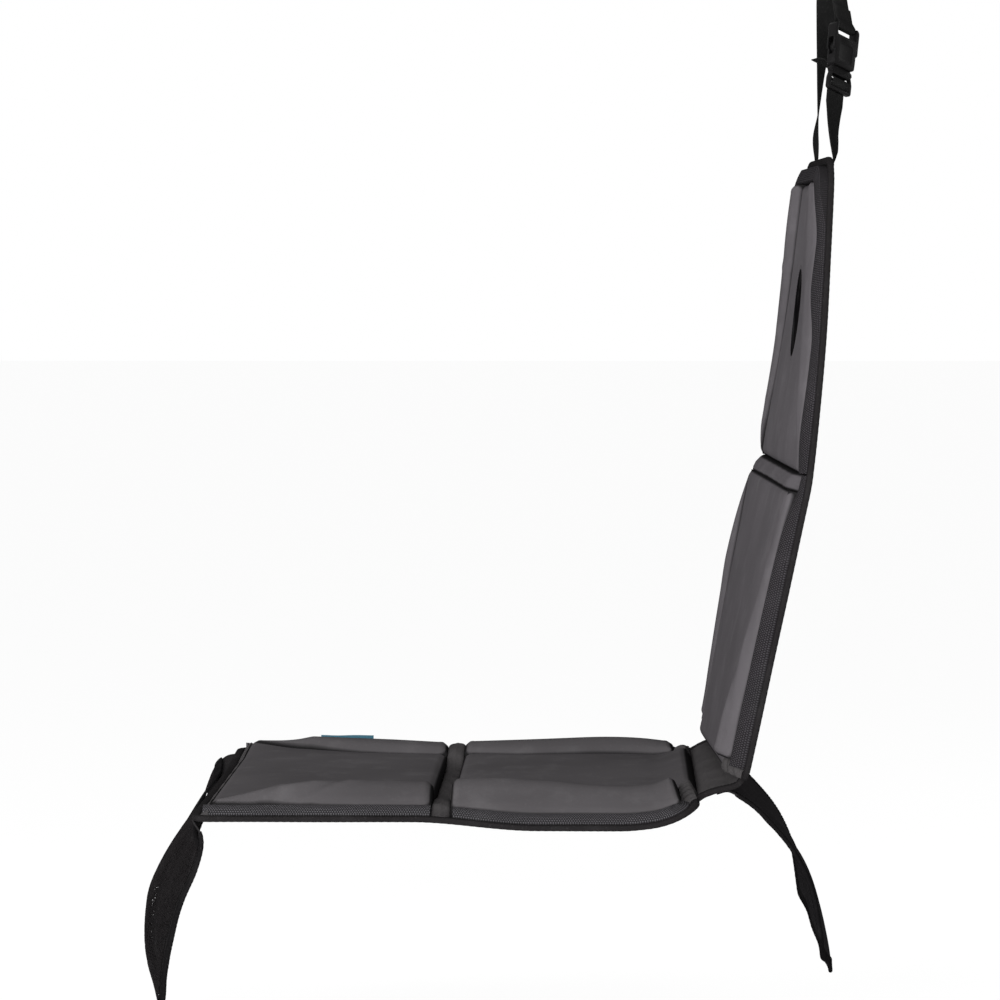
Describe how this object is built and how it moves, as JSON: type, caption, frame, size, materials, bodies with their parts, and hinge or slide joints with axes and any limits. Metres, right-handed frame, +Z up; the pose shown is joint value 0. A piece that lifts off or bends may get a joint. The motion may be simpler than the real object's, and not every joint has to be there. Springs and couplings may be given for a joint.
{
  "type": "car seat protector mat",
  "caption": "Padded mat that protects a car seat: hinged seat and back panels with bolsters, front flap with mesh pocket, rear tuck-in flap and headrest strap with buckle.",
  "frame": {"origin": "middle of the flat underside of the seat panel", "axes": "+Z up, +X rearward (the mat faces -X), +Y to the sitter's right"},
  "size_m": [0.7302, 0.47, 1.0909],
  "materials": {
    "grey_laminate": "soft satin, smooth coated cloth over foam",
    "side_border": "dark textured cloth",
    "black_binding": "woven edge tape",
    "fold_cloth": "matt dark cloth",
    "non_slip_backing": "matt black cloth",
    "pocket_mesh": "open black netting",
    "webbing": "black woven webbing",
    "buckle_plastic": "black moulded plastic",
    "tag_cloth": "blue woven tag"
  },
  "bodies": {
    "root": {"adjusting_strap": "webbing", "back_backing": "non_slip_backing", "back_fold_band": "grey_laminate", "back_lower_centre_pad": "grey_laminate", "back_lower_left_bolster": "grey_laminate", "back_lower_left_border": "side_border", "back_lower_right_bolster": "grey_laminate", "back_lower_right_border": "side_border", "back_upper_centre_pad": "grey_laminate", "back_upper_left_bolster": "grey_laminate", "back_upper_left_border": "side_border", "back_upper_right_bolster": "grey_laminate", "back_upper_right_border": "side_border", "buckle_plug": "buckle_plastic", "buckle_socket": "buckle_plastic", "edge_binding": "black_binding", "front_flap": "non_slip_backing", "front_flap_binding": "black_binding", "headrest_strap": "webbing", "mesh_pocket": "pocket_mesh", "mesh_pocket_hem": "black_binding", "neck_backing": "non_slip_backing", "neck_panel": "fold_cloth", "rear_flap": "fold_cloth", "rear_flap_binding": "black_binding", "seat_backing": "non_slip_backing", "seat_fold_band": "fold_cloth", "seat_front_centre_pad": "grey_laminate", "seat_front_left_bolster": "grey_laminate", "seat_front_left_border": "side_border", "seat_front_right_bolster": "grey_laminate", "seat_front_right_border": "side_border", "seat_rear_centre_pad": "grey_laminate", "seat_rear_left_bolster": "grey_laminate", "seat_rear_left_border": "side_border", "seat_rear_right_bolster": "grey_laminate", "seat_rear_right_border": "side_border", "side_tag": "tag_cloth"}
  },
  "joints": []
}
